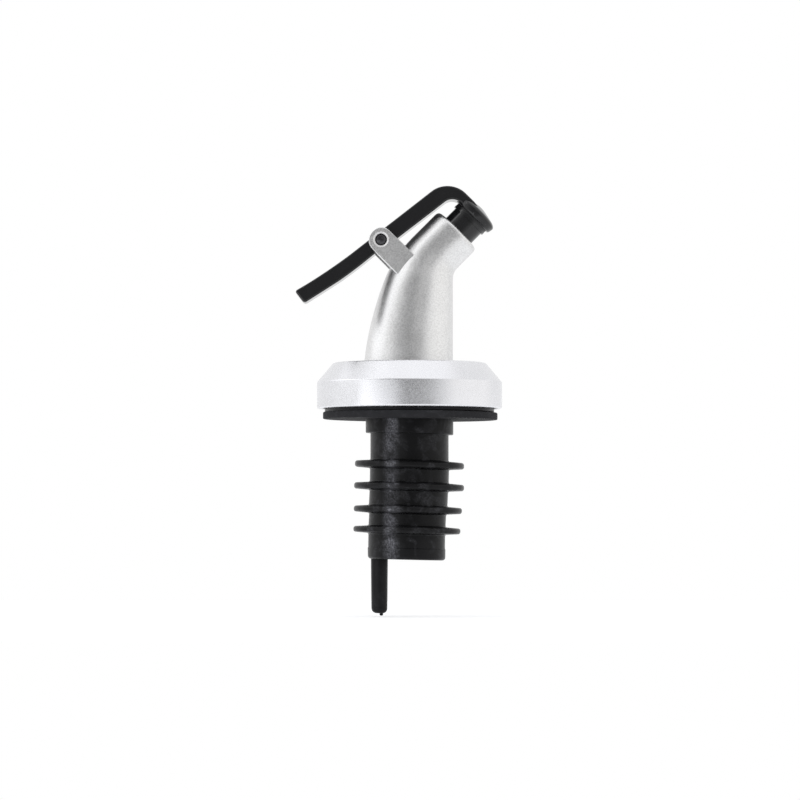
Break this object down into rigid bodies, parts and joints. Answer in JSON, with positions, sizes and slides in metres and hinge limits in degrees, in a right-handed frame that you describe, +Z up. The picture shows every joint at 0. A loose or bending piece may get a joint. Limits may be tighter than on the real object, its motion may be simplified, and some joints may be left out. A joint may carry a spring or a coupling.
{
  "type": "bottle pour spout",
  "caption": "Bottle pour spout with a finned rubber stopper, a round collar, an angled nozzle and a spring lever that caps its mouth.",
  "frame": {"origin": "on the stopper's axis in the plane where the washer's underside rests on the bottle's lip", "axes": "+Z up out of the bottle along the stopper's axis, +X the way the spout pours, +Y along the lever's pivot"},
  "size_m": [0.0424, 0.038, 0.0878],
  "materials": {
    "satin_silver": "satin silver coat with fine flake",
    "collar_silver": "smooth satin silver coat",
    "black_rubber": "moulded, slightly dusty",
    "black_moulding": "moulded",
    "gloss_black": "polished moulding",
    "tip_black": "half gloss moulding",
    "seal_rubber": "smooth",
    "pin_steel": "blackened, polished end",
    "spring_steel": "drawn wire"
  },
  "bodies": {
    "spout": {"spout_body": "satin_silver", "collar_ring": "collar_silver", "stopper_core": "black_moulding", "stopper": "black_rubber", "sealing_washer": "black_rubber", "foot_o_ring": "seal_rubber", "breather_tube": "black_moulding", "air_tube": "black_moulding", "pour_tip": "tip_black", "pivot_pin": "pin_steel", "torsion_spring": "spring_steel"},
    "lever": {"lever": "gloss_black", "mouth_seal": "seal_rubber"}
  },
  "joints": [
    {"name": "lever_pivot", "type": "hinge", "parent": "spout", "child": "lever", "pos_m": [-0.00583, 0, 0.03667], "axis": [0, -1, 0], "range_deg": [0, 38], "stiffness_Nm_per_rad": 0.02, "springref_deg": -57.3, "deforming": ["torsion_spring"]}
  ]
}
